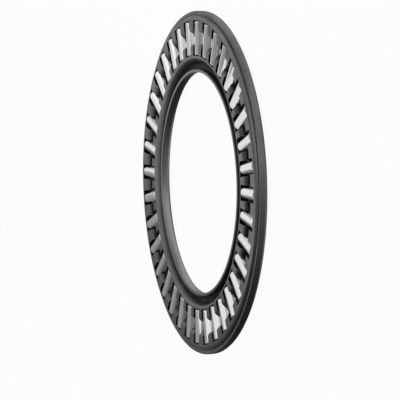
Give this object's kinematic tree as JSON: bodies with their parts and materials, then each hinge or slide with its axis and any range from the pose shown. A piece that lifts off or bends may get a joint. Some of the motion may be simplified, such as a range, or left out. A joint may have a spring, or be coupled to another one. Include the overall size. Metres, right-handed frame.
{
  "type": "needle thrust bearing",
  "caption": "Flat axial bearing: needle rollers lie like spokes in the pockets of a pressed sheet-steel ring with a W section, free to roll.",
  "frame": {"origin": "centre of the bearing, on the plane that holds the axes of the needles", "axes": "+Z along the bearing axis, out of the front face with the pocket lips; +X along the axis of needle_01"},
  "size_m": [0.0468, 0.0468, 0.002],
  "materials": {
    "cage_steel": "satin grey, case hardened",
    "needle_steel": "ground and polished bright"
  },
  "bodies": {
    "cage": {"cage": "cage_steel"},
    "needle_01": {"needle_01": "needle_steel"},
    "needle_02": {"needle_02": "needle_steel"},
    "needle_03": {"needle_03": "needle_steel"},
    "needle_04": {"needle_04": "needle_steel"},
    "needle_05": {"needle_05": "needle_steel"},
    "needle_06": {"needle_06": "needle_steel"},
    "needle_07": {"needle_07": "needle_steel"},
    "needle_08": {"needle_08": "needle_steel"},
    "needle_09": {"needle_09": "needle_steel"},
    "needle_10": {"needle_10": "needle_steel"},
    "needle_11": {"needle_11": "needle_steel"},
    "needle_12": {"needle_12": "needle_steel"},
    "needle_13": {"needle_13": "needle_steel"},
    "needle_14": {"needle_14": "needle_steel"},
    "needle_15": {"needle_15": "needle_steel"},
    "needle_16": {"needle_16": "needle_steel"},
    "needle_17": {"needle_17": "needle_steel"},
    "needle_18": {"needle_18": "needle_steel"},
    "needle_19": {"needle_19": "needle_steel"},
    "needle_20": {"needle_20": "needle_steel"},
    "needle_21": {"needle_21": "needle_steel"},
    "needle_22": {"needle_22": "needle_steel"},
    "needle_23": {"needle_23": "needle_steel"},
    "needle_24": {"needle_24": "needle_steel"},
    "needle_25": {"needle_25": "needle_steel"},
    "needle_26": {"needle_26": "needle_steel"},
    "needle_27": {"needle_27": "needle_steel"},
    "needle_28": {"needle_28": "needle_steel"},
    "needle_29": {"needle_29": "needle_steel"},
    "needle_30": {"needle_30": "needle_steel"},
    "needle_31": {"needle_31": "needle_steel"},
    "needle_32": {"needle_32": "needle_steel"},
    "needle_33": {"needle_33": "needle_steel"},
    "needle_34": {"needle_34": "needle_steel"},
    "needle_35": {"needle_35": "needle_steel"},
    "needle_36": {"needle_36": "needle_steel"}
  },
  "joints": [
    {"name": "needle_01_roll", "type": "hinge", "parent": "cage", "child": "needle_01", "pos_m": [0.0197, 0, 0], "axis": [1, 0, 0], "continuous": true},
    {"name": "needle_02_roll", "type": "hinge", "parent": "cage", "child": "needle_02", "pos_m": [0.0194, 0.00342, 0], "axis": [0.9848, 0.1736, 0], "continuous": true},
    {"name": "needle_03_roll", "type": "hinge", "parent": "cage", "child": "needle_03", "pos_m": [0.01851, 0.00674, 0], "axis": [0.9397, 0.342, 0], "continuous": true},
    {"name": "needle_04_roll", "type": "hinge", "parent": "cage", "child": "needle_04", "pos_m": [0.01706, 0.00985, 0], "axis": [0.866, 0.5, 0], "continuous": true},
    {"name": "needle_05_roll", "type": "hinge", "parent": "cage", "child": "needle_05", "pos_m": [0.01509, 0.01266, 0], "axis": [0.766, 0.6428, 0], "continuous": true},
    {"name": "needle_06_roll", "type": "hinge", "parent": "cage", "child": "needle_06", "pos_m": [0.01266, 0.01509, 0], "axis": [0.6428, 0.766, 0], "continuous": true},
    {"name": "needle_07_roll", "type": "hinge", "parent": "cage", "child": "needle_07", "pos_m": [0.00985, 0.01706, 0], "axis": [0.5, 0.866, 0], "continuous": true},
    {"name": "needle_08_roll", "type": "hinge", "parent": "cage", "child": "needle_08", "pos_m": [0.00674, 0.01851, 0], "axis": [0.342, 0.9397, 0], "continuous": true},
    {"name": "needle_09_roll", "type": "hinge", "parent": "cage", "child": "needle_09", "pos_m": [0.00342, 0.0194, 0], "axis": [0.1736, 0.9848, 0], "continuous": true},
    {"name": "needle_10_roll", "type": "hinge", "parent": "cage", "child": "needle_10", "pos_m": [0, 0.0197, 0], "axis": [0, 1, 0], "continuous": true},
    {"name": "needle_11_roll", "type": "hinge", "parent": "cage", "child": "needle_11", "pos_m": [-0.00342, 0.0194, 0], "axis": [-0.1736, 0.9848, 0], "continuous": true},
    {"name": "needle_12_roll", "type": "hinge", "parent": "cage", "child": "needle_12", "pos_m": [-0.00674, 0.01851, 0], "axis": [-0.342, 0.9397, 0], "continuous": true},
    {"name": "needle_13_roll", "type": "hinge", "parent": "cage", "child": "needle_13", "pos_m": [-0.00985, 0.01706, 0], "axis": [-0.5, 0.866, 0], "continuous": true},
    {"name": "needle_14_roll", "type": "hinge", "parent": "cage", "child": "needle_14", "pos_m": [-0.01266, 0.01509, 0], "axis": [-0.6428, 0.766, 0], "continuous": true},
    {"name": "needle_15_roll", "type": "hinge", "parent": "cage", "child": "needle_15", "pos_m": [-0.01509, 0.01266, 0], "axis": [-0.766, 0.6428, 0], "continuous": true},
    {"name": "needle_16_roll", "type": "hinge", "parent": "cage", "child": "needle_16", "pos_m": [-0.01706, 0.00985, 0], "axis": [-0.866, 0.5, 0], "continuous": true},
    {"name": "needle_17_roll", "type": "hinge", "parent": "cage", "child": "needle_17", "pos_m": [-0.01851, 0.00674, 0], "axis": [-0.9397, 0.342, 0], "continuous": true},
    {"name": "needle_18_roll", "type": "hinge", "parent": "cage", "child": "needle_18", "pos_m": [-0.0194, 0.00342, 0], "axis": [-0.9848, 0.1736, 0], "continuous": true},
    {"name": "needle_19_roll", "type": "hinge", "parent": "cage", "child": "needle_19", "pos_m": [-0.0197, 0, 0], "axis": [-1, 0, 0], "continuous": true},
    {"name": "needle_20_roll", "type": "hinge", "parent": "cage", "child": "needle_20", "pos_m": [-0.0194, -0.00342, 0], "axis": [-0.9848, -0.1736, 0], "continuous": true},
    {"name": "needle_21_roll", "type": "hinge", "parent": "cage", "child": "needle_21", "pos_m": [-0.01851, -0.00674, 0], "axis": [-0.9397, -0.342, 0], "continuous": true},
    {"name": "needle_22_roll", "type": "hinge", "parent": "cage", "child": "needle_22", "pos_m": [-0.01706, -0.00985, 0], "axis": [-0.866, -0.5, 0], "continuous": true},
    {"name": "needle_23_roll", "type": "hinge", "parent": "cage", "child": "needle_23", "pos_m": [-0.01509, -0.01266, 0], "axis": [-0.766, -0.6428, 0], "continuous": true},
    {"name": "needle_24_roll", "type": "hinge", "parent": "cage", "child": "needle_24", "pos_m": [-0.01266, -0.01509, 0], "axis": [-0.6428, -0.766, 0], "continuous": true},
    {"name": "needle_25_roll", "type": "hinge", "parent": "cage", "child": "needle_25", "pos_m": [-0.00985, -0.01706, 0], "axis": [-0.5, -0.866, 0], "continuous": true},
    {"name": "needle_26_roll", "type": "hinge", "parent": "cage", "child": "needle_26", "pos_m": [-0.00674, -0.01851, 0], "axis": [-0.342, -0.9397, 0], "continuous": true},
    {"name": "needle_27_roll", "type": "hinge", "parent": "cage", "child": "needle_27", "pos_m": [-0.00342, -0.0194, 0], "axis": [-0.1736, -0.9848, 0], "continuous": true},
    {"name": "needle_28_roll", "type": "hinge", "parent": "cage", "child": "needle_28", "pos_m": [0, -0.0197, 0], "axis": [0, -1, 0], "continuous": true},
    {"name": "needle_29_roll", "type": "hinge", "parent": "cage", "child": "needle_29", "pos_m": [0.00342, -0.0194, 0], "axis": [0.1736, -0.9848, 0], "continuous": true},
    {"name": "needle_30_roll", "type": "hinge", "parent": "cage", "child": "needle_30", "pos_m": [0.00674, -0.01851, 0], "axis": [0.342, -0.9397, 0], "continuous": true},
    {"name": "needle_31_roll", "type": "hinge", "parent": "cage", "child": "needle_31", "pos_m": [0.00985, -0.01706, 0], "axis": [0.5, -0.866, 0], "continuous": true},
    {"name": "needle_32_roll", "type": "hinge", "parent": "cage", "child": "needle_32", "pos_m": [0.01266, -0.01509, 0], "axis": [0.6428, -0.766, 0], "continuous": true},
    {"name": "needle_33_roll", "type": "hinge", "parent": "cage", "child": "needle_33", "pos_m": [0.01509, -0.01266, 0], "axis": [0.766, -0.6428, 0], "continuous": true},
    {"name": "needle_34_roll", "type": "hinge", "parent": "cage", "child": "needle_34", "pos_m": [0.01706, -0.00985, 0], "axis": [0.866, -0.5, 0], "continuous": true},
    {"name": "needle_35_roll", "type": "hinge", "parent": "cage", "child": "needle_35", "pos_m": [0.01851, -0.00674, 0], "axis": [0.9397, -0.342, 0], "continuous": true},
    {"name": "needle_36_roll", "type": "hinge", "parent": "cage", "child": "needle_36", "pos_m": [0.0194, -0.00342, 0], "axis": [0.9848, -0.1736, 0], "continuous": true}
  ]
}
